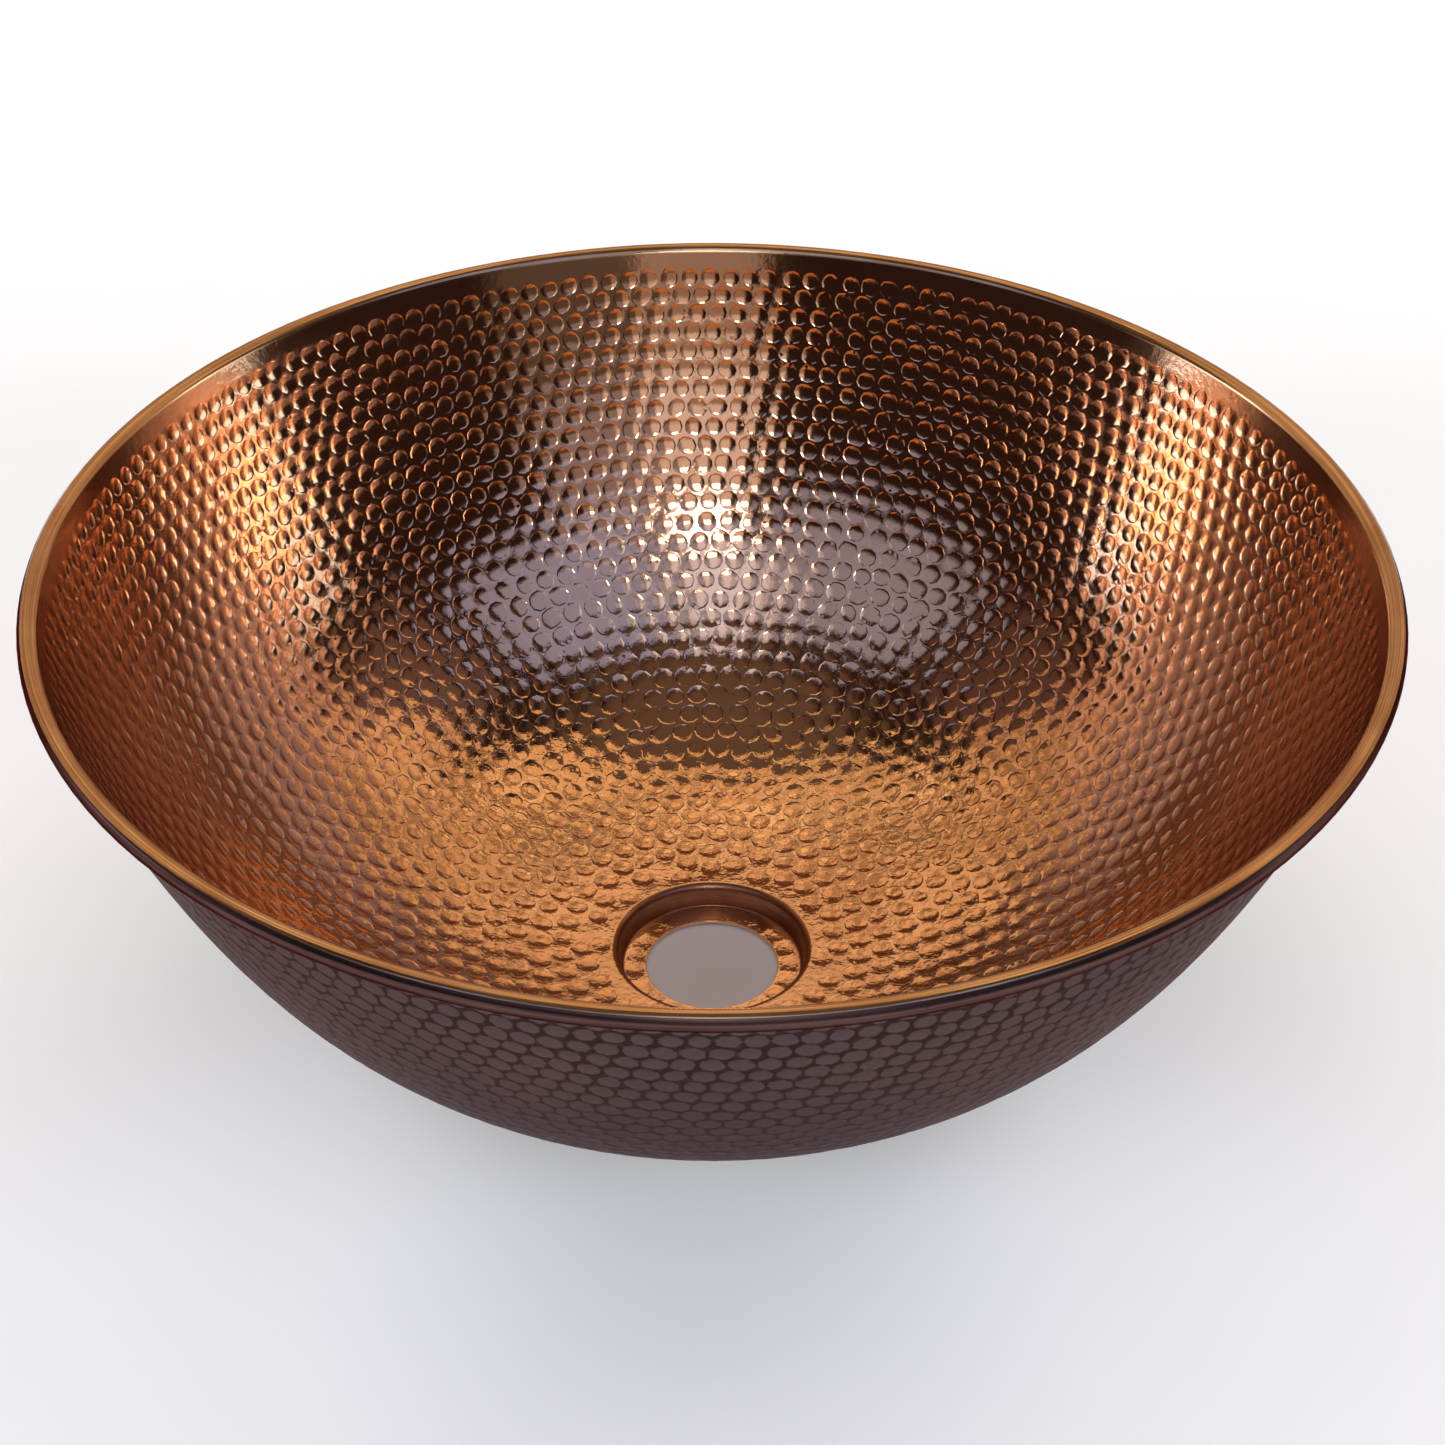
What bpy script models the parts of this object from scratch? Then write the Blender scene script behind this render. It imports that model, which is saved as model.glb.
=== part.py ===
"""Hand-hammered copper vessel sink bowl.

One copper sheet raised into a round open basin, with a stepped recess and an open
hole for the drain in the middle of the bottom, and its edge rolled outwards over a
round wire. Metres, +Z up, axis on Z, underside of the drain flange at Z = 0.
"""
import math

import bmesh
import bpy

# Driving dimensions
OUTER_DIAMETER = 0.419        # across the rolled rim
HEIGHT = 0.165                # underside of the drain flange to the top of the rim
SHEET = 0.0013                # copper sheet thickness
BEAD_RADIUS = 0.00315         # outside radius of the rolled rim
ROLL_SLIT = 0.00045           # opening left where the rolled edge comes back to the wall
WIRE_RADIUS = 0.0015          # wire inside the roll, clear of the sheet all round

DRAIN_HOLE_DIAMETER = 0.0445
FLANGE_FLAT_RADIUS = 0.0297   # flat flange ends here and turns up into the recess wall
RECESS_RISE = 0.0082          # flange underside up to the underside of the bottom
RECESS_WALL_ANGLE = math.radians(80)
FOOT_BEND = 0.00145           # bend radii, on the middle of the sheet
SHOULDER_BEND = 0.0020

BOTTOM_SLOPE = math.radians(1.5)    # fall of the bottom towards the drain
BOTTOM_REACH = 0.100                # how far the flat of the bottom holds its slope
WALL_LEAN = math.radians(19)        # lean of the wall from upright at the rim
WALL_REACH = 0.096                  # how far the straight of the wall holds its lean

STEPS = 64                    # facets round the bowl
WALL_POINTS = 13              # points up the bottom and wall
BEND_POINTS = 3               # points round each bend of the recess
ROLL_POINTS = 11              # points round the rolled edge
WIRE_POINTS = 10              # points round the wire

COPPER = (0.72, 0.36, 0.20, 1.0)
WIRE_METAL = (0.58, 0.34, 0.22, 1.0)


def clear_scene():
    for obj in list(bpy.data.objects):
        bpy.data.objects.remove(obj, do_unlink=True)
    for mesh in list(bpy.data.meshes):
        bpy.data.meshes.remove(mesh)
    for coll in list(bpy.data.collections):
        bpy.data.collections.remove(coll)


def material(name, color, roughness):
    mat = bpy.data.materials.new(name)
    mat.use_nodes = True
    shader = mat.node_tree.nodes["Principled BSDF"]
    shader.inputs["Base Color"].default_value = color
    shader.inputs["Metallic"].default_value = 1.0
    shader.inputs["Roughness"].default_value = roughness
    mat.diffuse_color = color
    return mat


def arc(path, heading, radius, turn, count):
    """Carry the path on round an arc; a positive turn bends it upwards."""
    r, z = path[-1]
    side = 1 if turn > 0 else -1
    cr = r - side * radius * math.sin(heading)
    cz = z + side * radius * math.cos(heading)
    for i in range(1, count + 1):
        a = heading + turn * i / count
        path.append((cr + side * radius * math.sin(a), cz - side * radius * math.cos(a)))
    return heading + turn


def bezier(p0, p1, p2, p3, count):
    points = []
    for i in range(1, count + 1):
        t = i / count
        s = 1 - t
        w = (s * s * s, 3 * s * s * t, 3 * s * t * t, t * t * t)
        points.append(tuple(w[0] * a + w[1] * b + w[2] * c + w[3] * d
                            for a, b, c, d in zip(p0, p1, p2, p3)))
    return points


def bead_centre():
    return OUTER_DIAMETER / 2 - BEAD_RADIUS, HEIGHT - BEAD_RADIUS


def roll_end_angle():
    """Angle round the bead where the rolled edge stops, just short of the wall."""
    wall_face = BEAD_RADIUS - SHEET
    back = math.acos((wall_face - ROLL_SLIT) / BEAD_RADIUS)
    return math.pi - WALL_LEAN + back - 2 * math.pi


def sheet_path():
    """Middle of the sheet, from the edge of the drain hole out to the rolled edge."""
    path = [(DRAIN_HOLE_DIAMETER / 2, SHEET / 2), (FLANGE_FLAT_RADIUS, SHEET / 2)]
    heading = arc(path, 0.0, FOOT_BEND, RECESS_WALL_ANGLE, BEND_POINTS)
    rise_left = (RECESS_RISE - FOOT_BEND * (1 - math.cos(RECESS_WALL_ANGLE))
                 - SHOULDER_BEND * (math.cos(BOTTOM_SLOPE) - math.cos(RECESS_WALL_ANGLE)))
    straight = rise_left / math.sin(heading)
    r, z = path[-1]
    path.append((r + straight * math.cos(heading), z + straight * math.sin(heading)))
    heading = arc(path, heading, SHOULDER_BEND, BOTTOM_SLOPE - RECESS_WALL_ANGLE, BEND_POINTS)

    cr, cz = bead_centre()
    bend = BEAD_RADIUS - SHEET / 2
    start = math.pi - WALL_LEAN
    p0 = path[-1]
    p3 = (cr + bend * math.cos(start), cz + bend * math.sin(start))
    p1 = (p0[0] + BOTTOM_REACH * math.cos(heading), p0[1] + BOTTOM_REACH * math.sin(heading))
    p2 = (p3[0] - WALL_REACH * math.sin(WALL_LEAN), p3[1] - WALL_REACH * math.cos(WALL_LEAN))
    path += bezier(p0, p1, p2, p3, WALL_POINTS)

    end = roll_end_angle()
    for i in range(1, ROLL_POINTS + 1):
        a = start + (end - start) * i / ROLL_POINTS
        path.append((cr + bend * math.cos(a), cz + bend * math.sin(a)))
    return path


def turned_sheet(name, path, coll, mat):
    """Open line in the XZ plane, turned once round Z and given the sheet's thickness."""
    mesh = bpy.data.meshes.new(name)
    bm = bmesh.new()
    verts = [bm.verts.new((r, 0.0, z)) for r, z in path]
    for a, b in zip(verts, verts[1:]):
        bm.edges.new((a, b))
    bm.to_mesh(mesh)
    bm.free()
    obj = bpy.data.objects.new(name, mesh)
    coll.objects.link(obj)
    obj.data.materials.append(mat)

    screw = obj.modifiers.new("turn", "SCREW")
    screw.axis = "Z"
    screw.angle = 2 * math.pi
    screw.screw_offset = 0.0
    screw.steps = STEPS
    screw.render_steps = STEPS
    screw.use_merge_vertices = True
    screw.merge_threshold = 0.00001
    screw.use_smooth_shade = True

    sheet = obj.modifiers.new("sheet", "SOLIDIFY")
    sheet.thickness = SHEET
    sheet.offset = 0.0
    sheet.use_even_offset = True
    return obj


def ring(name, centre, wire_radius, coll, mat):
    """Round wire bent into a ring and closed on itself."""
    radius, height = centre
    bpy.ops.mesh.primitive_torus_add(location=(0.0, 0.0, height), major_radius=radius,
                                     minor_radius=wire_radius, major_segments=STEPS,
                                     minor_segments=WIRE_POINTS)
    obj = bpy.context.object
    obj.name = name
    obj.data.name = name
    for owner in list(obj.users_collection):
        owner.objects.unlink(obj)
    coll.objects.link(obj)
    obj.data.materials.append(mat)
    obj.data.shade_smooth()
    return obj


def make_mesh(obj):
    """Turn the modifiers into mesh, shaded smooth except at the sheet's cut edges."""
    graph = bpy.context.evaluated_depsgraph_get()
    mesh = bpy.data.meshes.new_from_object(obj.evaluated_get(graph))
    obj.modifiers.clear()
    obj.data = mesh
    mesh.name = obj.name
    mesh.shade_smooth()
    mesh.set_sharp_from_angle(angle=math.radians(50))


def build():
    clear_scene()
    coll = bpy.data.collections.new("hammered_copper_vessel_sink")
    bpy.context.scene.collection.children.link(coll)

    from_rim_down = list(reversed(sheet_path()))
    shell = turned_sheet("bowl_shell", from_rim_down, coll,
                         material("hammered copper", COPPER, 0.30))
    ring("rim_wire", bead_centre(), WIRE_RADIUS, coll, material("copper wire", WIRE_METAL, 0.40))
    bpy.context.view_layer.update()
    make_mesh(shell)


build()
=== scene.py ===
"""Hand-hammered copper vessel sink bowl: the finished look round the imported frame.

The bowl's sheet is rebuilt here with every hammer mark as real geometry: a dish on the
inside and a low dome on the outside. The meridian repeats part.py's design, in metres.
"""
import math
import random

import bmesh
import bpy
import numpy as np
from mathutils import Matrix, Vector
from mathutils.geometry import delaunay_2d_cdt


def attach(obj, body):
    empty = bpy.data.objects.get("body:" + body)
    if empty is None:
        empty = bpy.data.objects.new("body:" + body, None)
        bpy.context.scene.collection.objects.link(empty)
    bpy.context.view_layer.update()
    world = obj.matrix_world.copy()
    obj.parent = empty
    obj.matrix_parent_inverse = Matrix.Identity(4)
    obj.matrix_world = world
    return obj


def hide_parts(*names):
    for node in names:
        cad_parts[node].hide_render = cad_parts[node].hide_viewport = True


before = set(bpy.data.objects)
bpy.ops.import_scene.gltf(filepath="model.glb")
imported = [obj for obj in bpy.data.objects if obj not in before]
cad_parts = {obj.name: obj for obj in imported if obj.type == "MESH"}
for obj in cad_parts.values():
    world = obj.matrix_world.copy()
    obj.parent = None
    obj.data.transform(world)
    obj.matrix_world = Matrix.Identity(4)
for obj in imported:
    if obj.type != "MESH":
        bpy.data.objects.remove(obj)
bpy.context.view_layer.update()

# The sheet, as in the CAD
OUTER_DIAMETER = 0.419
HEIGHT = 0.165
SHEET = 0.0013
BEAD_RADIUS = 0.00315
ROLL_SLIT = 0.00045
DRAIN_HOLE_DIAMETER = 0.0445
FLANGE_FLAT_RADIUS = 0.0297
RECESS_RISE = 0.0082
RECESS_WALL_ANGLE = math.radians(80)
FOOT_BEND = 0.00145
SHOULDER_BEND = 0.0020
BOTTOM_SLOPE = math.radians(1.5)
BOTTOM_REACH = 0.100
WALL_LEAN = math.radians(19)
WALL_REACH = 0.096

# The hammer marks
ROW_PITCH = 0.00665           # rows up the wall, near the rim
MARK_PITCH = 0.0073           # marks along a row, near the rim
BOTTOM_PITCH = 0.0087         # marks near the drain
MARK_RADIUS = 0.0032          # at the rim; grows with the pitch
MARK_DEPTH = 0.00025
LOWER_SWELL = 0.07            # how much wider marks are in the lower half
RADIUS_SPREAD = 0.04          # standard deviation of the radii near the rim, as a share
LOWER_RADIUS_SPREAD = 0.05    # added lower down
OVAL_SPREAD = 0.04            # the same two for how much a mark is stretched
LOWER_OVAL_SPREAD = 0.06
TOP_DEPTH = 0.8               # depth near the rim, as a share of MARK_DEPTH
DEPTH_SPREAD = 0.16
LEAST_DEPTH = 0.55            # as a share of the depth usual at that height
LAST_ROW = 0.0036             # rows stop this far above the recess's shoulder
LOW_LIMIT = 0.0030            # and no mark's centre comes nearer to it than this
LAID_SLACK = 0.0004           # how far above the top row a mark may be laid
SETTLED_SLACK = 0.0006        # and how far above it one may settle
TOP_WANDER = 0.045            # how far marks stray near the rim, in pitches
LOWER_WANDER = 0.13           # added lower down
SETTLE_ROUNDS = 8
SETTLED_PITCH = 0.98          # the share of the pitch that crowded marks make room for
SETTLE_SHARE = 0.22           # how much of a wrong distance each round mends
MOST_PULL = 0.06              # the most that a round counts a distance as too long,
MOST_PUSH = 0.5               # and as too short, as a share of the distance
SMOOTH_BAND = 0.0052          # plain sheet between the roll and the first row
INSIDE_GAP = 0.00018          # from a mark's edge to the line halfway to its neighbour
OUTSIDE_GAP = 0.00014
INSIDE_EASE = 0.25            # how much of a mark's slope the land beside it keeps
OUTSIDE_EASE = 1.0
OUTSIDE_WIDTH = 1.13          # the domes outside against the dishes inside
OUTSIDE_HEIGHT = 1.02
FLANGE_MARKS = 21
FLANGE_MARK_DEPTH = 0.00008   # broad faint marks round the drain hole
FLANGE_MARK_WIDTH = 0.0036
FLANGE_MARK_REACH = 0.0031    # along the radius
WORN_EDGE = 0.00025           # rounding of the drain hole's edge

# The mesh
RIM_STEPS = 144
DRAIN_STEPS = 80
INSIDE_RINGS = [(0.55, 5), (1.0, 10)]      # share of a mark's radius, points
OUTSIDE_RINGS = [(1.0, 8)]
FLANGE_RINGS = [(0.52, 6), (0.94, 11)]
INSIDE_ROLL_STEPS = 16
OUTSIDE_ROLL_STEPS = 8

rng = random.Random(20417)


# ---------------------------------------------------------------- meridian
def arc(path, heading, radius, turn, count):
    """Adds an arc to a line of (r, z) points, and returns the heading at its end."""
    r, z = path[-1]
    side = 1 if turn > 0 else -1
    cr = r - side * radius * math.sin(heading)
    cz = z + side * radius * math.cos(heading)
    for i in range(1, count + 1):
        a = heading + turn * i / count
        path.append((cr + side * radius * math.sin(a), cz - side * radius * math.cos(a)))
    return heading + turn


def bezier(p0, p1, p2, p3, count):
    """Points along a cubic curve, without its start."""
    points = []
    for i in range(1, count + 1):
        t = i / count
        s = 1 - t
        w = (s * s * s, 3 * s * s * t, 3 * s * t * t, t * t * t)
        points.append(tuple(w[0] * a + w[1] * b + w[2] * c + w[3] * d
                            for a, b, c, d in zip(p0, p1, p2, p3)))
    return points


BEAD_CENTRE = (OUTER_DIAMETER / 2 - BEAD_RADIUS, HEIGHT - BEAD_RADIUS)
BEND = BEAD_RADIUS - SHEET / 2
ROLL_START = math.pi - WALL_LEAN
ROLL_END = (ROLL_START + math.acos((BEAD_RADIUS - SHEET - ROLL_SLIT) / BEAD_RADIUS)
            - 2 * math.pi)


def recess_path(bend_points):
    """Middle of the sheet from the hole's edge to the top of the recess's shoulder."""
    path = [(DRAIN_HOLE_DIAMETER / 2, SHEET / 2), (FLANGE_FLAT_RADIUS, SHEET / 2)]
    heading = arc(path, 0.0, FOOT_BEND, RECESS_WALL_ANGLE, bend_points)
    rise_left = (RECESS_RISE - FOOT_BEND * (1 - math.cos(RECESS_WALL_ANGLE))
                 - SHOULDER_BEND * (math.cos(BOTTOM_SLOPE) - math.cos(RECESS_WALL_ANGLE)))
    straight = rise_left / math.sin(heading)
    r, z = path[-1]
    path.append((r + straight * math.cos(heading), z + straight * math.sin(heading)))
    arc(path, heading, SHOULDER_BEND, BOTTOM_SLOPE - RECESS_WALL_ANGLE, bend_points)
    return path


def wall_path(start, count):
    """Middle of the sheet from the recess's shoulder to the start of the roll."""
    cr, cz = BEAD_CENTRE
    p3 = (cr + BEND * math.cos(ROLL_START), cz + BEND * math.sin(ROLL_START))
    p1 = (start[0] + BOTTOM_REACH * math.cos(BOTTOM_SLOPE),
          start[1] + BOTTOM_REACH * math.sin(BOTTOM_SLOPE))
    p2 = (p3[0] - WALL_REACH * math.sin(WALL_LEAN), p3[1] - WALL_REACH * math.cos(WALL_LEAN))
    return [start] + bezier(start, p1, p2, p3, count)


class Meridian:
    """The wall from shoulder to roll: radius, height and slope against arc length,
    and a conformal radius, so that shapes keep their form when laid out flat."""

    def __init__(self):
        pts = np.array(wall_path(recess_path(4)[-1], 2000))
        step = np.hypot(*np.diff(pts, axis=0).T)
        self.s = np.concatenate([[0], np.cumsum(step)])
        self.r, self.z = pts[:, 0], pts[:, 1]
        tangent = np.gradient(pts, self.s, axis=0)
        self.slope = np.unwrap(np.arctan2(tangent[:, 1], tangent[:, 0]))
        inv = 1 / self.r
        w = np.concatenate([[0], np.cumsum((inv[1:] + inv[:-1]) / 2 * step)])
        self.rho = np.exp(w)
        self.length = float(self.s[-1])

    def radius(self, s):
        return np.interp(s, self.s, self.r)

    def flat_radius(self, s):
        return np.interp(s, self.s, self.rho)

    def arc_at(self, rho):
        return np.interp(rho, self.rho, self.s)


M = Meridian()
BAND_START = M.length - SMOOTH_BAND
TOP_ROW = BAND_START - 0.5 * ROW_PITCH


# ---------------------------------------------------------------- hammer marks
def lay_out_marks():
    """Centres of the marks on the flat layout: rows under the rim, less regular below."""
    centres = []
    s, phase = TOP_ROW, 0.0
    while s > LAST_ROW:
        down = (TOP_ROW - s) / TOP_ROW
        pitch = MARK_PITCH + (BOTTOM_PITCH - MARK_PITCH) * down
        count = round(2 * math.pi * float(M.radius(s)) / pitch)
        wander = TOP_WANDER + LOWER_WANDER * min(1.0, max(0.0, (down - 0.15) / 0.5))
        phase += math.pi / count * (1 + 0.25 * (rng.random() - 0.5))
        for j in range(count):
            a = phase + 2 * math.pi * (j + wander * rng.gauss(0, 1)) / count
            d = s + pitch * wander * 0.7 * rng.gauss(0, 1)
            d = min(max(d, LOW_LIMIT), TOP_ROW + LAID_SLACK)
            rho = float(M.flat_radius(d))
            centres.append((rho * math.cos(a), rho * math.sin(a)))
        s -= pitch * ROW_PITCH / MARK_PITCH
    return np.array(centres)


def triangles(points):
    """Delaunay triangles over points of a plane, as rows of three indices."""
    mesh = delaunay_2d_cdt([Vector(p) for p in points], [], [], 0, 1e-9)
    faces = np.array([face for face in mesh[2] if len(face) == 3])
    origin = np.array([first[0] for first in mesh[3]])
    return origin[faces]


def neighbours(points):
    """Pairs of marks that lie side by side."""
    faces = triangles(points)
    edges = np.concatenate([faces[:, (0, 1)], faces[:, (1, 2)], faces[:, (2, 0)]])
    return np.unique(np.sort(edges, axis=1), axis=0)


def local_scale(points):
    """Metres on the sheet for one unit of the flat layout."""
    rho = np.hypot(points[:, 0], points[:, 1])
    return M.radius(M.arc_at(rho)) / rho


def settle(points, rounds):
    """Marks that crowd each other shift apart, as a smith spaces the blows."""
    for _ in range(rounds):
        scale = local_scale(points)
        a, b = neighbours(points).T
        d = points[b] - points[a]
        length = np.hypot(*d.T)
        s = M.arc_at(np.hypot(points[a, 0], points[a, 1]))
        down = np.clip((M.length - s) / M.length, 0, 1)
        pitch = MARK_PITCH + (BOTTOM_PITCH - MARK_PITCH) * down
        want = SETTLED_PITCH * pitch / scale[a]
        wrong = np.clip((want - length) / length, -MOST_PULL, MOST_PUSH)
        push = wrong[:, None] * d * SETTLE_SHARE
        move = np.zeros_like(points)
        np.add.at(move, a, -push)
        np.add.at(move, b, push)
        points = points + move
        rho = np.hypot(points[:, 0], points[:, 1])
        s = np.clip(M.arc_at(rho), LOW_LIMIT, TOP_ROW + SETTLED_SLACK)
        points *= (M.flat_radius(s) / rho)[:, None]
    return points


def draws(count):
    """Normal deviates, one for each mark."""
    return np.array([rng.gauss(0, 1) for _ in range(count)])


def mark_shapes(points):
    """Each mark's radius and depth in metres, its share of stretch and the stretch's
    direction."""
    s = M.arc_at(np.hypot(points[:, 0], points[:, 1]))
    down = np.clip((M.length - s) / M.length, 0, 1)
    size = MARK_RADIUS * (1 + (BOTTOM_PITCH / MARK_PITCH - 1) * down)
    size = size * (1 + LOWER_SWELL * np.minimum(1, down / 0.5))
    spread = RADIUS_SPREAD + LOWER_RADIUS_SPREAD * down
    radius = size * (1 + spread * draws(len(points)))
    depth = MARK_DEPTH * (TOP_DEPTH + (1 - TOP_DEPTH) * np.minimum(1, down / 0.3))
    depth = depth * np.maximum(LEAST_DEPTH, 1 + DEPTH_SPREAD * draws(len(points)))
    oval = (OVAL_SPREAD + LOWER_OVAL_SPREAD * down) * np.abs(draws(len(points)))
    turn = np.array([math.pi * rng.random() for _ in points])
    return radius, depth, oval, turn


def mark_points(points, shapes, scale, near, rings, gap):
    """Points over each mark, its centre and its rings: place, height, slope, the way of
    the slope, and relief, which is 0 at the edge and about 1 in the middle. A crowded
    mark stops short of the line halfway to its neighbour, by gap. rings is a list of
    (share of the radius, points)."""
    radius, depth, oval, turn = shapes
    out = []
    for i, (x, y) in enumerate(points):
        k = scale[i]
        swell = abs(depth[i]) / MARK_DEPTH
        out.append((x, y, -depth[i], 0.0, 0.0, 0.0, swell))
        spin = 0.7 * (i % 7)
        for share, count in rings:
            for j in range(count):
                a = spin + 2 * math.pi * (j + 0.5 * (count % 3)) / count
                reach = radius[i] * (1 + oval[i] * math.cos(2 * (a - turn[i])))
                r = share * reach
                for dx, dy, half in near[i]:
                    c = dx * math.cos(a) + dy * math.sin(a)
                    if c > 0.3:
                        r = min(r, (half - gap) / c)
                t = r / reach
                out.append((x + r * math.cos(a) / k, y + r * math.sin(a) / k,
                            -depth[i] * (1 - t * t), 2 * depth[i] * t / reach,
                            math.cos(a), math.sin(a), swell * (1 - share * share)))
    return np.array(out)


def build_near(points, edges, scale):
    """For each mark, the way to each neighbour and to the plain sheet at the drain and
    under the rim, and how far it may reach that way."""
    rho = np.hypot(points[:, 0], points[:, 1])
    s = M.arc_at(rho)
    near = [[(-x / q, -y / q, d), (x / q, y / q, BAND_START - d)]
            for (x, y), q, d in zip(points, rho, s)]
    for a, b in edges:
        d = points[b] - points[a]
        length = float(np.hypot(*d))
        half = 0.25 * length * (scale[a] + scale[b])
        near[a].append((d[0] / length, d[1] / length, half))
        near[b].append((-d[0] / length, -d[1] / length, half))
    return near


# ---------------------------------------------------------------- mesh building
class Sheet:
    """Vertices with their true normals, and faces with a material each. A vertex on the
    crisp edge of a mark has two normals: the mark's, and the plain land's beside it."""

    def __init__(self):
        self.co, self.no, self.land_no, self.relief = [], [], [], []
        self.faces, self.mats, self.land = [], [], []
        self.count = 0

    def add(self, co, no, relief, land_no=None):
        first = self.count
        self.co.append(np.asarray(co, float))
        self.no.append(np.asarray(no, float))
        self.land_no.append(self.no[-1] if land_no is None else land_no)
        self.relief.append(np.broadcast_to(np.asarray(relief, float), (len(co),)))
        self.count += len(co)
        return np.arange(first, first + len(co))

    def add_faces(self, faces, mat, land=None):
        self.faces += faces
        self.mats += [mat] * len(faces)
        self.land += [False] * len(faces) if land is None else land

    def corner_normals(self):
        """One normal for each corner of each face."""
        corner = np.concatenate([np.asarray(f) for f in self.faces])
        land = np.repeat(self.land, [len(f) for f in self.faces])
        no, land_no = np.concatenate(self.no), np.concatenate(self.land_no)
        return np.where(land[:, None], land_no[corner], no[corner])

    def band(self, lower, upper, mat, flip=False):
        """Quads between two equal rings."""
        faces = []
        for i in range(len(lower)):
            j = (i + 1) % len(lower)
            f = [lower[i], lower[j], upper[j], upper[i]]
            faces.append(f[::-1] if flip else f)
        self.add_faces(faces, mat)


def on_wall(flat, side, height=0.0, slope=None):
    """Points of the flat layout placed on the wall's inner (side 1) or outer (-1)
    face, raised by height along its normal and tilted by slope (value, x, y)."""
    rho = np.hypot(flat[:, 0], flat[:, 1])
    s = M.arc_at(rho)
    r, z, pitch = M.radius(s), np.interp(s, M.s, M.z), np.interp(s, M.s, M.slope)
    c, d = flat[:, 0] / rho, flat[:, 1] / rho
    zero = np.zeros_like(c)
    up = np.stack([np.cos(pitch) * c, np.cos(pitch) * d, np.sin(pitch)], 1)
    across = np.stack([-d, c, zero], 1)
    normal = np.stack([-np.sin(pitch) * c, -np.sin(pitch) * d, np.cos(pitch)], 1)
    co = np.stack([r * c, r * d, z], 1) + normal * (side * SHEET / 2 + height)[:, None]
    no = normal * side
    if slope is not None:
        value, x, y = slope.T
        along = (x * c + y * d)[:, None] * up + (y * c - x * d)[:, None] * across
        no = no - side * value[:, None] * along
    return co, no / np.linalg.norm(no, axis=1)[:, None]


def faces_round_drain(flat, drain_first):
    """Triangles over points of a plane, all turning the same way, but none inside the
    drain's ring, which is the DRAIN_STEPS points from drain_first on."""
    faces = triangles(flat)
    in_drain = (faces >= drain_first) & (faces < drain_first + DRAIN_STEPS)
    faces = faces[~in_drain.all(1)]
    corner = flat[faces]
    turn = np.cross(corner[:, 1] - corner[:, 0], corner[:, 2] - corner[:, 0])
    faces[turn < 0] = faces[turn < 0][:, ::-1]
    return faces


def hammered_face(sheet, side, points, shapes, scale, near, rings, gap, land_ease, mat):
    """One face of the hammered wall; land_ease is how much of a mark's slope the land
    beside it keeps. Returns its boundary rings (drain, rim)."""
    data = mark_points(points, shapes, scale, near, rings, gap)
    per = 1 + sum(c for _, c in rings)
    co, no = on_wall(data[:, :2], side, data[:, 2], data[:, 3:6])
    _, land_no = on_wall(data[:, :2], side, data[:, 2], data[:, 3:6] * (land_ease, 1, 1))
    ids = [sheet.add(co, no, side * data[:, 6], land_no)]
    flat = [data[:, :2]]
    edges = []
    for rho, steps in ((1.0, DRAIN_STEPS), (float(M.flat_radius(BAND_START)), RIM_STEPS)):
        a = 2 * np.pi * np.arange(steps) / steps
        ring = rho * np.stack([np.cos(a), np.sin(a)], 1)
        c3, n3 = on_wall(ring, side, np.zeros(steps))
        ids.append(sheet.add(c3, n3, 0.0))
        flat.append(ring)
        edges.append(ids[-1])
    flat = np.concatenate(flat)
    ids = np.concatenate(ids)
    faces = faces_round_drain(flat, len(data))
    if side < 0:
        faces = faces[:, ::-1]
    mark = np.where(faces < len(data), faces // per, -1 - faces)
    land = (mark[:, 0] != mark[:, 1]) | (mark[:, 1] != mark[:, 2])
    sheet.add_faces(ids[faces].tolist(), mat, land.tolist())
    return edges


INSIDE, OUTSIDE, BEAD, LIP, RECESS = range(5)
POLISH_END = math.radians(53)     # angle round the bead where the polish stops


def line_normals(path):
    """Unit normals on the left-hand side of an open line of (r, z) points."""
    pts = np.array(path)
    seg = np.diff(pts, axis=0)
    seg /= np.linalg.norm(seg, axis=1)[:, None]
    tangent = np.concatenate([seg[:1], seg[1:] + seg[:-1], seg[-1:]])
    tangent /= np.linalg.norm(tangent, axis=1)[:, None]
    return pts, np.stack([-tangent[:, 1], tangent[:, 0]], 1)


def lathe(sheet, points, normals, steps):
    """One ring of vertices round Z for each (r, z) point."""
    rings = []
    a = 2 * np.pi * np.arange(steps) / steps
    c, s = np.cos(a), np.sin(a)
    for (r, z), (nr, nz) in zip(points, normals):
        co = np.stack([r * c, r * s, np.full(steps, z)], 1)
        no = np.stack([nr * c, nr * s, np.full(steps, nz)], 1)
        rings.append(sheet.add(co, no, 0.0))
    return rings


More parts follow.
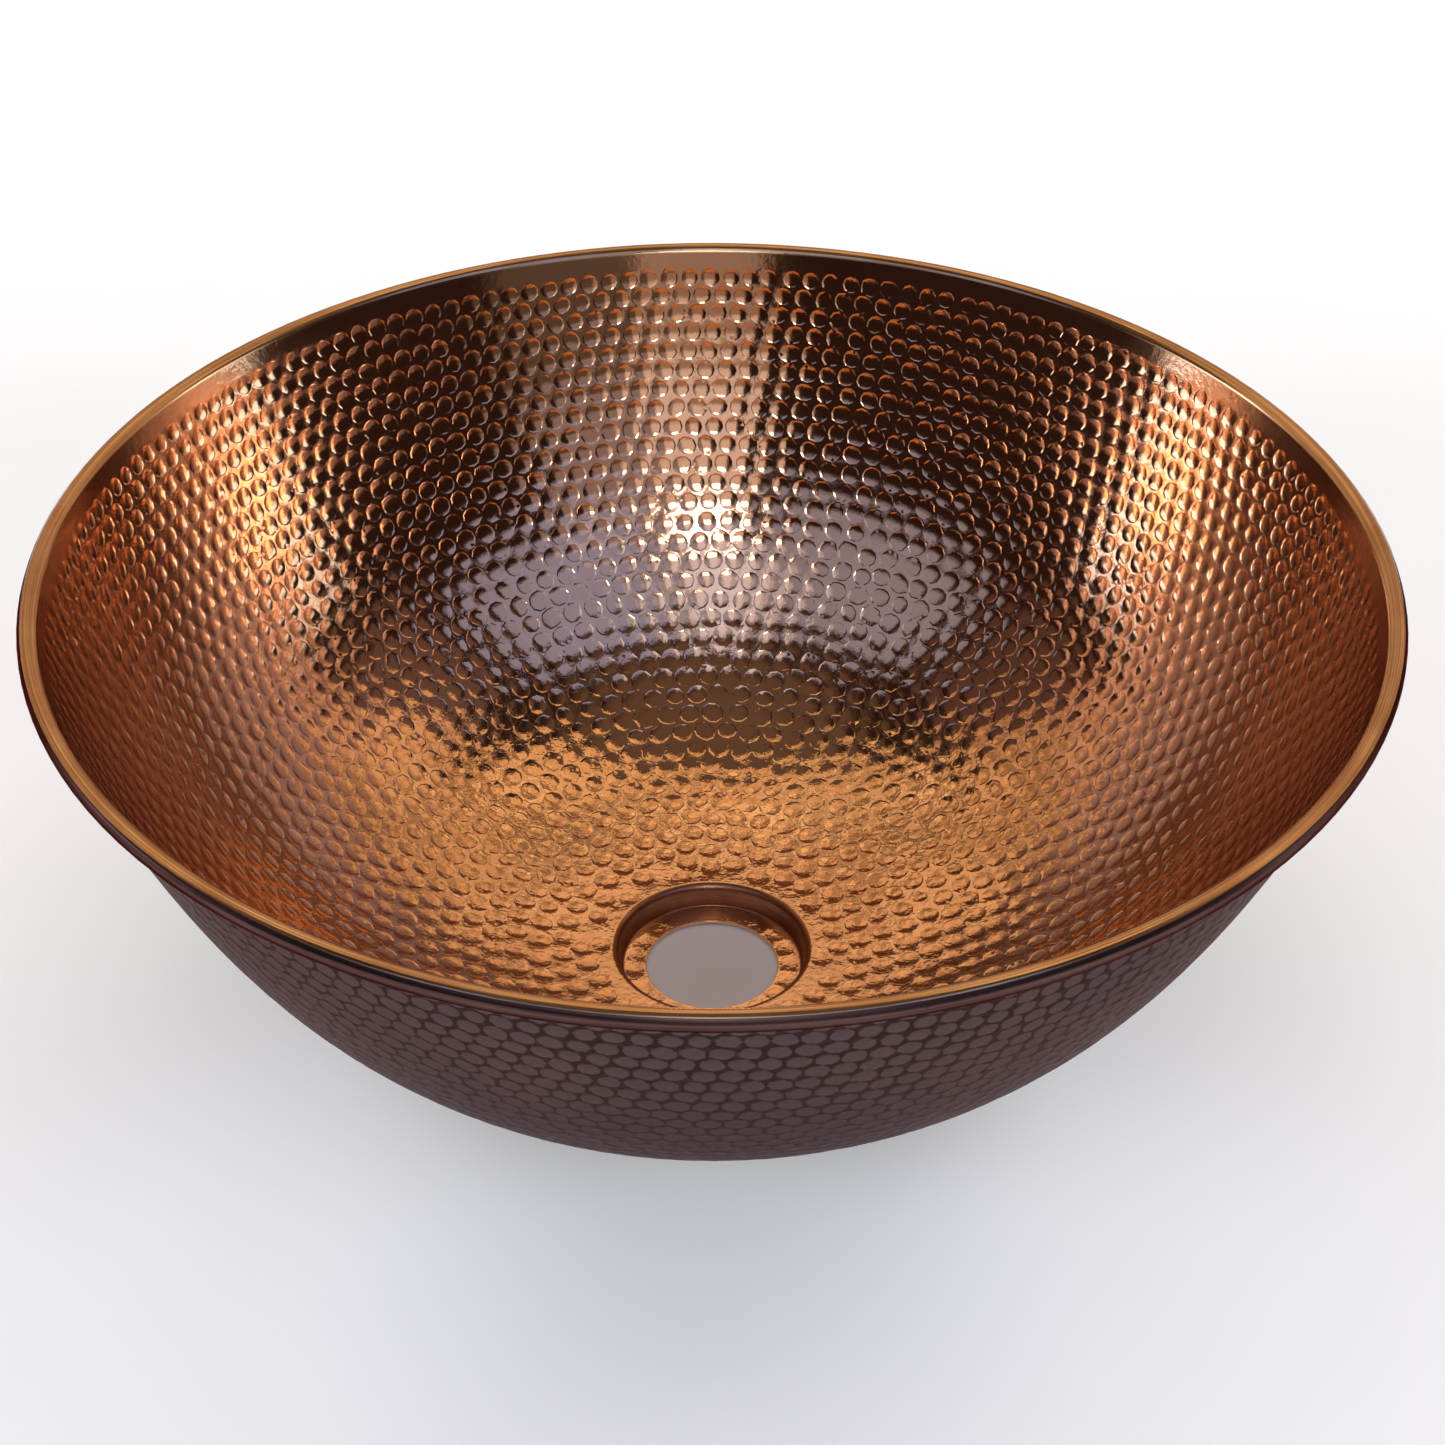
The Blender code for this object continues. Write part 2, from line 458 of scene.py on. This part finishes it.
def build_rim(sheet, in_rim, out_rim):
    """The plain band, the roll over the wire and its cut edge, joined to both faces."""
    cr, cz = BEAD_CENTRE
    for side, first, turns in ((1, in_rim, INSIDE_ROLL_STEPS),
                               (-1, out_rim, OUTSIDE_ROLL_STEPS)):
        s = BAND_START + SMOOTH_BAND * np.array([0.25, 0.6, 1.0])
        r, z, slope = M.radius(s), np.interp(s, M.s, M.z), np.interp(s, M.s, M.slope)
        normal = np.stack([-np.sin(slope), np.cos(slope)], 1)
        pts = np.stack([r, z], 1) + normal * side * SHEET / 2
        a = ROLL_START + (ROLL_END - ROLL_START) * np.arange(1, turns + 1) / turns
        out = np.stack([np.cos(a), np.sin(a)], 1)
        roll = np.array([cr, cz]) + out * (BEND + side * SHEET / 2)
        rings = lathe(sheet, np.concatenate([pts, roll]),
                      side * np.concatenate([normal, out]), RIM_STEPS)
        angles = [math.pi] * 3 + list(a)
        previous = first
        for ring, angle in zip(rings, angles):
            middle = angle + 0.5 * (ROLL_START - ROLL_END) / turns
            if side < 0:
                mat = OUTSIDE
            elif middle < POLISH_END:
                mat = BEAD
            elif angle < math.pi:
                mat = LIP
            else:
                mat = INSIDE
            sheet.band(previous, ring, mat, flip=side > 0)
            previous = ring
        if side > 0:
            outer_edge = previous
    sheet.band(outer_edge, previous, BEAD, flip=True)


def build_flange(sheet, hole_ring, foot_ring, low, high):
    """Upper face of the flat ring round the drain hole, with its broad, faint marks."""
    middle = 0.5 * (low + high)
    limit = 0.98 * math.pi * middle / FLANGE_MARKS
    flat, height, tilt = [], [], []
    for i in range(FLANGE_MARKS):
        a0 = 2 * math.pi * (i + 0.10 * rng.gauss(0, 1)) / FLANGE_MARKS
        wide = FLANGE_MARK_WIDTH + 0.0002 * rng.gauss(0, 1)
        depth = FLANGE_MARK_DEPTH * max(0.4, 1 + 0.3 * rng.gauss(0, 1))
        for share, count in [(0.0, 1)] + FLANGE_RINGS:
            for j in range(count):
                b = 2 * math.pi * (j + 0.5 * (count % 2)) / count
                out = middle + FLANGE_MARK_REACH * share * math.cos(b)
                along = max(-limit, min(limit, wide * share * math.sin(b)))
                x = out * math.cos(a0) - along * math.sin(a0)
                y = out * math.sin(a0) + along * math.cos(a0)
                slope = 2 * depth * share / FLANGE_MARK_REACH
                flat.append((x, y))
                height.append(-depth * (1 - share * share))
                tilt.append((slope * math.cos(a0 + b), slope * math.sin(a0 + b)))
    flat, tilt = np.array(flat), np.array(tilt)
    co = np.stack([flat[:, 0], flat[:, 1], SHEET + np.array(height)], 1)
    no = np.stack([-tilt[:, 0], -tilt[:, 1], np.ones(len(flat))], 1)
    no /= np.linalg.norm(no, axis=1)[:, None]
    ids = sheet.add(co, no, np.array(height) / -FLANGE_MARK_DEPTH * 0.6)
    a = 2 * np.pi * np.arange(DRAIN_STEPS) / DRAIN_STEPS
    circle = np.stack([np.cos(a), np.sin(a)], 1)
    flat = np.concatenate([flat, low * circle, high * circle])
    ids = np.concatenate([ids, hole_ring, foot_ring])
    faces = faces_round_drain(flat * 100, len(flat) - 2 * DRAIN_STEPS)
    sheet.add_faces(ids[faces].tolist(), INSIDE)


def build_recess(sheet, in_drain, out_drain):
    """Drain hole's edge, flange ring, recess wall and shoulder, on both faces."""
    path = recess_path(6)
    pts, normal = line_normals(path)
    ease = WORN_EDGE
    hole = DRAIN_HOLE_DIAMETER / 2
    upper = lathe(sheet, (pts + normal * SHEET / 2)[1:-1], normal[1:-1], DRAIN_STEPS)
    lower = lathe(sheet, (pts - normal * SHEET / 2)[1:-1], -normal[1:-1], DRAIN_STEPS)
    d = math.sqrt(0.5)
    edge = lathe(sheet,
                 [(hole + ease, SHEET), (hole + 0.3 * ease, SHEET - 0.3 * ease),
                  (hole, SHEET - ease), (hole, ease), (hole + 0.3 * ease, 0.3 * ease),
                  (hole + ease, 0.0)],
                 [(0, 1), (-d, d), (-1, 0), (-1, 0), (-d, -d), (0, -1)], DRAIN_STEPS)
    for a, b in zip(upper, upper[1:] + [in_drain]):
        sheet.band(a, b, INSIDE if b is in_drain else RECESS, flip=True)
    for a, b in zip(lower + [out_drain], (lower + [out_drain])[1:]):
        sheet.band(a, b, OUTSIDE)
    build_flange(sheet, edge[0], upper[0], hole + ease, FLANGE_FLAT_RADIUS)
    for a, b in zip(edge, edge[1:]):
        sheet.band(a, b, INSIDE)
    sheet.band(edge[-1], lower[0], OUTSIDE)


def build_bowl():
    """The whole bowl as one closed mesh."""
    sheet = Sheet()
    points = settle(lay_out_marks(), SETTLE_ROUNDS)
    scale = local_scale(points)
    edges = neighbours(points)
    near = build_near(points, edges, scale)
    shapes = mark_shapes(points)
    in_drain, in_rim = hammered_face(sheet, 1, points, shapes, scale, near,
                                     INSIDE_RINGS, INSIDE_GAP, INSIDE_EASE, INSIDE)
    radius, depth, oval, turn = shapes
    outer = (radius * OUTSIDE_WIDTH, -depth * OUTSIDE_HEIGHT, oval, turn)
    out_drain, out_rim = hammered_face(sheet, -1, points, outer, scale, near,
                                       OUTSIDE_RINGS, OUTSIDE_GAP, OUTSIDE_EASE, OUTSIDE)
    build_rim(sheet, in_rim, out_rim)
    build_recess(sheet, in_drain, out_drain)

    mesh = bpy.data.meshes.new("hammered_bowl")
    mesh.from_pydata(np.concatenate(sheet.co).tolist(), [], sheet.faces)
    mesh.polygons.foreach_set("material_index", sheet.mats)
    mesh.shade_smooth()
    mesh.normals_split_custom_set(sheet.corner_normals().tolist())
    relief = mesh.attributes.new("relief", "FLOAT", "POINT")
    relief.data.foreach_set("value", np.concatenate(sheet.relief).astype(np.float32))
    obj = bpy.data.objects.new("hammered_bowl", mesh)
    bpy.context.scene.collection.objects.link(obj)
    return obj


# ---------------------------------------------------------------- materials
class Nodes:
    """Short hand for building a node tree."""

    def __init__(self, tree):
        self.tree = tree

    def add(self, kind, inputs=None, **props):
        node = self.tree.nodes.new(kind)
        for key, value in props.items():
            setattr(node, key, value)
        for key, value in (inputs or {}).items():
            self.put(node.inputs[key], value)
        return node

    def put(self, socket, value):
        if isinstance(value, bpy.types.NodeSocket):
            self.tree.links.new(value, socket)
        else:
            socket.default_value = value

    def maths(self, kind, a, b):
        node = self.add("ShaderNodeMath", {0: a, 1: b}, operation=kind)
        return node.outputs[0]

    def mix(self, factor, a, b):
        node = self.add("ShaderNodeMix", data_type="RGBA")
        self.put(node.inputs[0], factor)
        self.put(node.inputs[6], a)
        self.put(node.inputs[7], b)
        return node.outputs[2]

    def noise(self, vector, scale, detail=2.0, rough=0.5):
        node = self.add("ShaderNodeTexNoise", {"Vector": vector, "Scale": scale,
                                               "Detail": detail, "Roughness": rough})
        return node.outputs["Fac"]

    def span(self, value, low, high, out_low=0.0, out_high=1.0):
        node = self.add("ShaderNodeMapRange", {"Value": value, "From Min": low,
                                               "From Max": high, "To Min": out_low,
                                               "To Max": out_high})
        return node.outputs["Result"]

    def attribute(self, name):
        return self.add("ShaderNodeAttribute", attribute_name=name).outputs["Fac"]

    def height_of(self, where):
        return self.add("ShaderNodeSeparateXYZ", {0: where}).outputs["Z"]

    def surface(self, shader, colour, metallic, roughness):
        self.put(shader.inputs["Base Color"], colour)
        self.put(shader.inputs["Metallic"], metallic)
        self.put(shader.inputs["Roughness"], roughness)

    def bump(self, shader, height, strength, distance):
        node = self.add("ShaderNodeBump", {"Strength": strength, "Distance": distance,
                                           "Height": height})
        self.put(shader.inputs["Normal"], node.outputs[0])


def new_material(name):
    """A material, its nodes, its shader and the place on the object that it colours."""
    mat = bpy.data.materials.new(name)
    mat.use_nodes = True
    tree = mat.node_tree
    tree.nodes.clear()
    n = Nodes(tree)
    shader = n.add("ShaderNodeBsdfPrincipled")
    out = n.add("ShaderNodeOutputMaterial")
    tree.links.new(shader.outputs[0], out.inputs["Surface"])
    where = n.add("ShaderNodeNewGeometry").outputs["Position"]
    return mat, n, shader, where


def polished_copper():
    """The hammered inside."""
    mat, n, shader, where = new_material("polished_copper")
    relief = n.attribute("relief")
    cloud = n.noise(where, 14.0, 3.0)
    blotch = n.noise(where, 90.0, 3.0)
    colour = n.mix(n.span(cloud, 0.35, 0.65), (0.88, 0.49, 0.28, 1), (0.95, 0.57, 0.35, 1))
    colour = n.mix(n.span(blotch, 0.55, 0.75, 0.0, 0.35), colour, (0.76, 0.38, 0.20, 1))
    # Lighter on the lands and round each mark's rim: partly the satin lands' own paler tone,
    # partly a painted highlight along the rims
    colour = n.mix(n.span(relief, 0.25, 0.0, 0.0, 0.30), colour, (0.98, 0.66, 0.46, 1))
    n.surface(shader, colour, 1.0, n.span(blotch, 0.3, 0.8, 0.07, 0.13))
    fine = n.noise(where, 1100.0, 3.0)
    # The bottom was struck over and over, and each blow bites hardest at its edge
    uneven = n.span(n.height_of(where), 0.07, 0.02, 1.0, 3.0)
    grain = n.maths("MULTIPLY", n.noise(where, 430.0, 2.0), uneven)
    height = n.maths("ADD", n.maths("MULTIPLY", fine, 0.25), grain)
    height = n.maths("ADD", height, n.span(relief, 0.0, 0.18, 0.9, 0.0))
    n.bump(shader, height, 0.22, 0.0002)
    return mat


def dark_patina():
    """The outside: darker in the grooves between the marks, and redder near the rim."""
    mat, n, shader, where = new_material("dark_patina")
    relief = n.attribute("relief")
    cloud = n.noise(where, 18.0, 4.0)
    speck = n.noise(where, 420.0, 3.0)
    colour = n.mix(n.span(cloud, 0.3, 0.7), (0.125, 0.080, 0.077, 1), (0.100, 0.073, 0.080, 1))
    up = n.height_of(where)
    colour = n.mix(n.span(up, 0.11, 0.03, 0.0, 0.8), colour, (0.074, 0.062, 0.072, 1))
    colour = n.mix(n.span(speck, 0.55, 0.72, 0.0, 0.4), colour, (0.14, 0.096, 0.090, 1))
    ragged = n.maths("ADD", relief, n.span(speck, 0.3, 0.7, -0.05, 0.05))
    groove = n.maths("MULTIPLY", n.span(ragged, -0.12, -0.01), n.span(up, 0.06, 0.14, 0.40, 0.82))
    colour = n.mix(groove, colour, (0.022, 0.009, 0.008, 1))
    n.surface(shader, colour, 0.8, n.span(speck, 0.3, 0.7, 0.36, 0.50))
    n.put(shader.inputs["Specular Tint"], (0.42, 0.30, 0.29, 1))
    n.bump(shader, speck, 0.3, 0.0002)
    return mat


def rim_line(n, where):
    """Noise drawn out round the rim: the fine lines that burnishing leaves."""
    part = n.add("ShaderNodeSeparateXYZ", {0: where}).outputs
    level = n.add("ShaderNodeVectorMath", {0: where, 1: (1, 1, 0)}, operation="MULTIPLY")
    reach = n.add("ShaderNodeVectorMath", {0: level.outputs["Vector"]}, operation="LENGTH")
    ring = n.add("ShaderNodeCombineXYZ", {"X": reach.outputs["Value"], "Y": part["Z"],
                                          "Z": n.maths("MULTIPLY", part["X"], 0.006)})
    return n.noise(ring.outputs[0], 2600.0, 3.0)


def recess_copper_painted_shade():
    """The recess's steep wall, where the polishing wheel hardly reaches: rougher than the inside,
    and its darker colour is painted shade in the recess.
    """
    mat, n, shader, where = new_material("recess_copper_painted_shade")
    line = rim_line(n, where)
    cloud = n.noise(where, 110.0, 4.0)
    # Dark copper throughout the recess wall: painted shade; the dark lines are burnishing lines
    colour = n.mix(n.span(cloud, 0.35, 0.65), (0.36, 0.17, 0.10, 1), (0.50, 0.26, 0.15, 1))
    colour = n.mix(n.span(line, 0.50, 0.68, 0.0, 0.6), colour, (0.22, 0.09, 0.05, 1))
    n.surface(shader, colour, 1.0, n.span(line, 0.3, 0.7, 0.26, 0.40))
    n.bump(shader, line, 0.25, 0.0001)
    return mat


def burnished_copper():
    """The bright lip of the roll."""
    mat, n, shader, where = new_material("burnished_copper")
    line = rim_line(n, where)
    cloud = n.noise(where, 40.0, 4.0)
    colour = n.mix(n.span(cloud, 0.35, 0.65), (0.76, 0.46, 0.25, 1), (0.93, 0.62, 0.36, 1))
    colour = n.mix(n.span(line, 0.50, 0.68, 0.0, 0.55), colour, (0.58, 0.30, 0.14, 1))
    n.surface(shader, colour, 1.0, n.span(line, 0.3, 0.7, 0.12, 0.24))
    n.bump(shader, line, 0.25, 0.0001)
    return mat


def dark_rim():
    """The outer part of the roll, left dark."""
    mat, n, shader, where = new_material("dark_rim")
    line = rim_line(n, where)
    cloud = n.noise(where, 30.0, 4.0)
    colour = n.mix(n.span(cloud, 0.3, 0.7), (0.135, 0.082, 0.078, 1), (0.095, 0.052, 0.049, 1))
    colour = n.mix(n.span(line, 0.50, 0.68, 0.0, 0.6), colour, (0.05, 0.018, 0.014, 1))
    n.surface(shader, colour, 1.0, n.span(line, 0.3, 0.7, 0.28, 0.38))
    n.put(shader.inputs["Specular Tint"], (0.30, 0.17, 0.15, 1))
    n.bump(shader, line, 0.2, 0.0001)
    return mat


def wire_copper():
    """The wire in the roll, which nothing outside shows."""
    mat, n, shader, where = new_material("wire_copper")
    cloud = n.noise(where, 120.0, 4.0)
    cloud = n.span(cloud, 0.3, 0.7)
    colour = n.mix(cloud, (0.50, 0.25, 0.16, 1), (0.33, 0.15, 0.10, 1))
    n.surface(shader, colour, 1.0, n.span(cloud, 0.0, 1.0, 0.35, 0.55))
    return mat


def floor_material():
    """Pale, and very slightly cloudy."""
    mat, n, shader, where = new_material("pale_floor")
    cloud = n.noise(where, 6.0, 3.0)
    colour = n.mix(n.span(cloud, 0.3, 0.7), (0.86, 0.86, 0.86, 1), (0.89, 0.89, 0.89, 1))
    n.surface(shader, colour, 0.0, 0.75)
    return mat


# ---------------------------------------------------------------- staging
def direction(azimuth, elevation):
    """Unit vector: azimuth 0 is the camera's side (-Y), 90 is +X."""
    a, e = math.radians(azimuth), math.radians(elevation)
    return Vector((math.sin(a) * math.cos(e), -math.cos(a) * math.cos(e), math.sin(e)))


def area_light(name, azimuth, elevation, distance, size, power, colour, glossy=True):
    """A soft lamp facing the bowl; without glossy, the metal doesn't mirror it."""
    data = bpy.data.lights.new(name, "AREA")
    data.shape = "RECTANGLE"
    data.size, data.size_y = size
    data.energy = power
    data.color = colour
    obj = bpy.data.objects.new(name, data)
    bpy.context.scene.collection.objects.link(obj)
    way = direction(azimuth, elevation)
    obj.location = way * distance + Vector((0, 0, 0.08))
    obj.rotation_euler = way.to_track_quat("Z", "Y").to_euler()
    obj.visible_glossy = glossy


# What the metal mirrors; studio_world says what each number is
ROOM = (0.022, 0.012, 0.010, 1)
GLOWS = [
    (0, 90, 5, 28, (0.095, 0.070, 0.052)),
    (-2, 53, 5, 18, (0.35, 0.40, 0.52)),
]
PANELS = [
    # Warm wall and ceiling behind the bowl, mirrored in its bottom and lower walls
    (177, 62, 54, 71, 2, (0.84, 0.56, 0.29)),
    (178, 77, 34, 52, 2, (0.76, 0.50, 0.27)),
    (180, 20, 34, 54, 3, (0.20, 0.14, 0.10)),
    (180, 70, 58, 60, 0.7, (0.45, 0.40, 0.28)),
    (180, 76, 3, 33, 2, (0.60, 0.38, 0.24)),
    # In front, below the window and to its right: mirrored in the far wall
    (2, 11, 3, 15, 2, (0.27, 0.22, 0.20)),
    (2, 11, 15, 31, 2, (0.44, 0.40, 0.38)),
    (14, 22, 17, 38, 3, (0.22, 0.21, 0.26)),
    (25, 14, 3, 19, 3, (0.07, 0.06, 0.05)),
    # Cool light from high in front
    (-2, 10, 42, 70, 3, (0.36, 0.42, 0.64)),
    (43, 25, 34, 64, 4, (0.26, 0.33, 0.60)),
    (-42, 26, 31, 60, 5, (0.25, 0.30, 0.48)),
    # Side walls, and a bright panel low on each side
    (92, 14, 26, 56, 4, (0.10, 0.07, 0.07)),
    (-92, 14, 26, 56, 4, (0.07, 0.045, 0.045)),
    (95, 8, 1, 17, 3, (1.50, 1.60, 1.70)),
    (-95, 10, 1, 16, 3, (2.05, 2.10, 2.40)),
]
PATCHY_FROM = 150                     # panels of a greater azimuth are patchy
BACKDROP = (0.82, 0.81, 0.80, 1)      # what the camera sees behind the floor


def studio_world(base, glows, panels):
    """A room to reflect: a base colour, round glows (azimuth, elevation, inner and outer
    half angle, colour) and upright panels (azimuth, half width, lowest and highest
    elevation, softness of the edge, colour), all in degrees. The panels at the back are
    patchy, as shelves and beams would be. The camera itself sees a plain backdrop."""
    world = bpy.data.worlds.new("studio")
    bpy.context.scene.world = world
    world.use_nodes = True
    tree = world.node_tree
    tree.nodes.clear()
    n = Nodes(tree)
    out = n.add("ShaderNodeOutputWorld")
    back = n.add("ShaderNodeBackground")
    tree.links.new(back.outputs[0], out.inputs["Surface"])
    way = n.add("ShaderNodeTexCoord").outputs["Generated"]
    height = n.add("ShaderNodeSeparateXYZ", {0: way}).outputs["Z"]
    level = n.add("ShaderNodeVectorMath", {0: way, 1: (1, 1, 0)}, operation="MULTIPLY")
    level = n.add("ShaderNodeVectorMath", {0: level.outputs["Vector"]}, operation="NORMALIZE")
    level = level.outputs["Vector"]

    def dot(vector, azimuth, elevation):
        node = n.add("ShaderNodeVectorMath", {0: vector, 1: tuple(direction(azimuth, elevation))},
                     operation="DOT_PRODUCT")
        return node.outputs["Value"]

    def step(value, low, high):
        node = n.add("ShaderNodeMapRange", {"Value": value, "From Min": low, "From Max": high},
                     interpolation_type="SMOOTHSTEP")
        return node.outputs["Result"]

    def sine(angle):
        return math.sin(math.radians(angle))

    patchy = n.span(n.noise(way, 7.0, 3.0), 0.38, 0.62, 0.35, 1.0)
    masks = []
    for azimuth, elevation, inner, outer, colour in glows:
        masks.append((step(dot(way, azimuth, elevation), sine(90 - outer), sine(90 - inner)),
                      colour))
    for azimuth, half, low, high, soft, colour in panels:
        above = step(height, sine(low - soft), sine(low + soft))
        below = step(height, sine(high + soft), sine(high - soft))
        side = step(dot(level, azimuth, 0), sine(90 - half - soft), sine(90 - half + soft))
        mask = n.maths("MULTIPLY", n.maths("MULTIPLY", above, below), side)
        if azimuth > PATCHY_FROM:
            mask = n.maths("MULTIPLY", mask, patchy)
        masks.append((mask, colour))
    total = base
    for mask, colour in masks:
        add = n.add("ShaderNodeMix", data_type="RGBA", blend_type="ADD")
        n.put(add.inputs[0], 1.0)
        n.put(add.inputs[6], total)
        n.put(add.inputs[7], n.mix(mask, (0, 0, 0, 1), colour + (1,)))
        total = add.outputs[2]
    seen = n.add("ShaderNodeLightPath").outputs["Is Camera Ray"]
    n.put(back.inputs["Color"], n.mix(seen, total, BACKDROP))
    n.put(back.inputs["Strength"], 1.0)


# The photo's viewpoint, fitted to the outlines of the rim, the recess and the wall
CAMERA_PLACE = (0.0, -0.7674, 0.6684)
CAMERA_AHEAD = (0.00330, 0.80484, -0.59348)
CAMERA_RIGHT = (0.99999, -0.00132, 0.00377)
CAMERA_LENS = 74.74
CAMERA_SENSOR = 36.0
FLOOR_RADIUS = 2.3
FLOOR_DROP = 0.0003           # keeps the floor clear of the bowl's flat underside


def place_camera():
    data = bpy.data.cameras.new("camera")
    data.sensor_width = CAMERA_SENSOR
    data.lens = CAMERA_LENS
    obj = bpy.data.objects.new("camera", data)
    bpy.context.scene.collection.objects.link(obj)
    ahead = Vector(CAMERA_AHEAD).normalized()
    right = Vector(CAMERA_RIGHT)
    right = (right - ahead * right.dot(ahead)).normalized()
    up = right.cross(ahead)
    turn = Matrix((right, up, -ahead)).transposed().to_4x4()
    obj.matrix_world = Matrix.Translation(CAMERA_PLACE) @ turn
    bpy.context.scene.camera = obj


def build_floor():
    """A plain pale disc just under the bowl."""
    bm = bmesh.new()
    bmesh.ops.create_circle(bm, cap_ends=True, radius=FLOOR_RADIUS, segments=96)
    mesh = bpy.data.meshes.new("floor")
    bm.to_mesh(mesh)
    bm.free()
    obj = bpy.data.objects.new("floor", mesh)
    obj.location = (0, 0, -FLOOR_DROP)
    bpy.context.scene.collection.objects.link(obj)
    mesh.materials.append(floor_material())


bowl = build_bowl()
for mat in (polished_copper(), dark_patina(), dark_rim(), burnished_copper(),
            recess_copper_painted_shade()):
    bowl.data.materials.append(mat)
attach(bowl, "root")
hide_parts("bowl_shell")

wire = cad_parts["rim_wire"]
wire.data.materials.clear()
wire.data.materials.append(wire_copper())

build_floor()
place_camera()
studio_world(ROOM, GLOWS, PANELS)
area_light("front_window", 2, 40, 2.2, (0.52, 0.30), 3.0, (1.0, 0.98, 0.95))
area_light("overhead_wash", 0, 88, 3.2, (4.5, 4.5), 8, (0.94, 0.98, 1.0), glossy=False)
for quarter in range(4):
    area_light("side_wash_%d" % quarter, 45 + 90 * quarter, 24, 3.0, (2.2, 1.4), 54,
               (0.95, 0.98, 1.0), glossy=False)
bpy.context.scene.view_settings.view_transform = "Standard"
